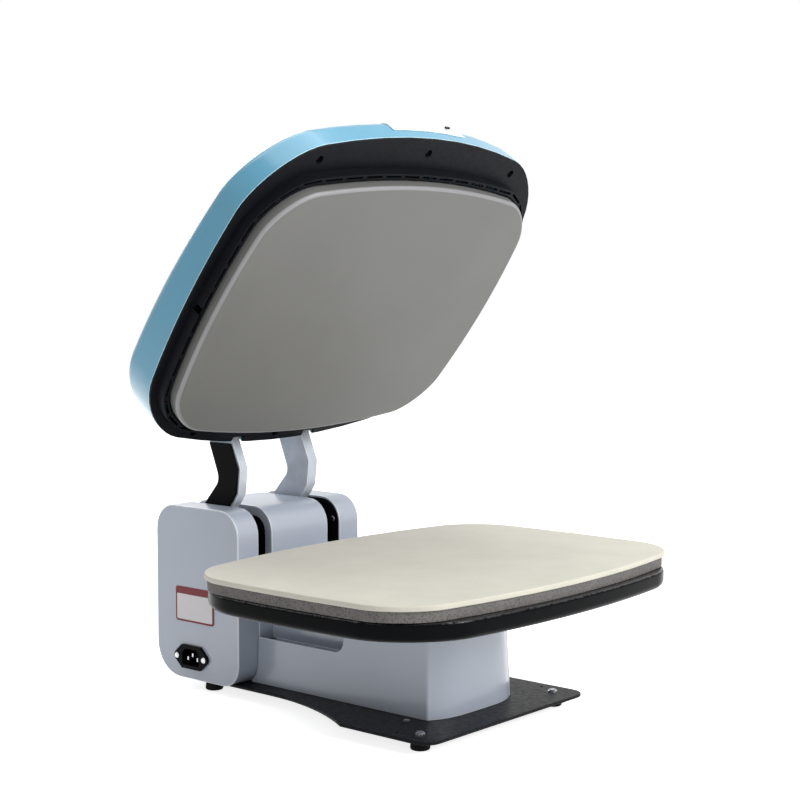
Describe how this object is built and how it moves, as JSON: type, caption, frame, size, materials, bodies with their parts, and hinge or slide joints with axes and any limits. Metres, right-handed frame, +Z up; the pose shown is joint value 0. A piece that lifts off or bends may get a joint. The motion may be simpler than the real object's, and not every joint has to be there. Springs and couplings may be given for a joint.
{
  "type": "clamshell heat press",
  "caption": "Powered clamshell heat press with a heated platen under a moulded hood, swung on two arms over a felt-covered lower platen.",
  "frame": {"origin": "centre of the press's footprint box on the bench, at the underside of the feet", "axes": "+Z up, +Y from the front to the towers at the back, +X to the right seen from the front; drawn with the hood open"},
  "size_m": [0.436, 0.4746, 0.57],
  "materials": {
    "powder_black": "satin black powder coat",
    "rubber": "matt moulded rubber",
    "zinc_screw": "bright zinc-plated steel",
    "grey_cover": "gloss grey moulded cover",
    "steel": "bare steel sheet",
    "bronze": "sintered bronze",
    "motor_metal": "cast and painted gearbox and motor can",
    "gear_steel": "machined steel",
    "board_green": "glass-fibre circuit board",
    "black_plastic": "moulded black plastic",
    "rating_plate": "bare printed plate with a dark red border",
    "gloss_black": "gloss black enamel",
    "silicone_foam": "grey silicone foam sponge",
    "felt": "needled cream felt",
    "arm_paint": "satin light grey paint",
    "heated_aluminium": "satin non-stick coated cast aluminium",
    "element_sheath": "heat-tinted tubular element",
    "insulation": "ceramic-fibre board",
    "ceramic": "glazed ceramic body",
    "skirt_black": "textured black sheet steel",
    "dark_screw": "blackened steel",
    "sky_blue": "gloss sky-blue moulded hood",
    "white_panel": "gloss white moulding",
    "display": "dark display window",
    "key_grey": "membrane keys"
  },
  "bodies": {
    "base": {"base_plate": "powder_black", "front_feet": "rubber", "rear_feet": "rubber", "foot_screws": "zinc_screw", "pedestal_shell": "grey_cover", "neck_cover": "grey_cover", "platen_post": "steel", "platen_bolts": "zinc_screw", "left_tower_cover": "grey_cover", "centre_tower_cover": "grey_cover", "right_tower_cover": "grey_cover", "outer_hinge_plates": "powder_black", "inner_hinge_plates": "powder_black", "hinge_bushes": "bronze", "plate_screws": "zinc_screw", "gear_motor": "motor_metal", "power_board": "board_green", "power_inlet": "black_plastic", "inlet_pins": "zinc_screw", "inlet_screws": "zinc_screw", "rating_plate": "rating_plate", "lower_tray": "gloss_black", "lower_plate": "steel", "foam_pad": "silicone_foam", "felt_pad": "felt"},
    "head": {"hinge_shaft": "gear_steel", "sector_gear": "gear_steel", "left_arm": "arm_paint", "right_arm": "arm_paint", "arm_cable_cover": "black_plastic", "arm_bolts": "zinc_screw", "head_frame": "steel", "frame_posts": "zinc_screw", "heat_platen": "heated_aluminium", "heating_element": "element_sheath", "insulation_board": "insulation", "cutout_switch": "ceramic", "head_skirt": "skirt_black", "skirt_screws": "dark_screw", "head_shell": "sky_blue", "control_board": "board_green", "control_panel": "white_panel", "display_window": "display", "panel_keys": "key_grey"},
    "pinion": {"drive_pinion": "gear_steel"}
  },
  "joints": [
    {"name": "head_lift", "type": "hinge", "parent": "base", "child": "head", "pos_m": [0, 0.21045, 0.1624], "axis": [1, 0, 0], "range_deg": [0, 53.3]},
    {"name": "pinion_spin", "type": "hinge", "parent": "base", "child": "pinion", "pos_m": [0.006, 0.15661, 0.1146], "axis": [1, 0, 0], "range_deg": [-160.4, 0.5]}
  ],
  "couplings": [
    {"joint": "pinion_spin", "follows": "head_lift", "ratio": -3}
  ]
}
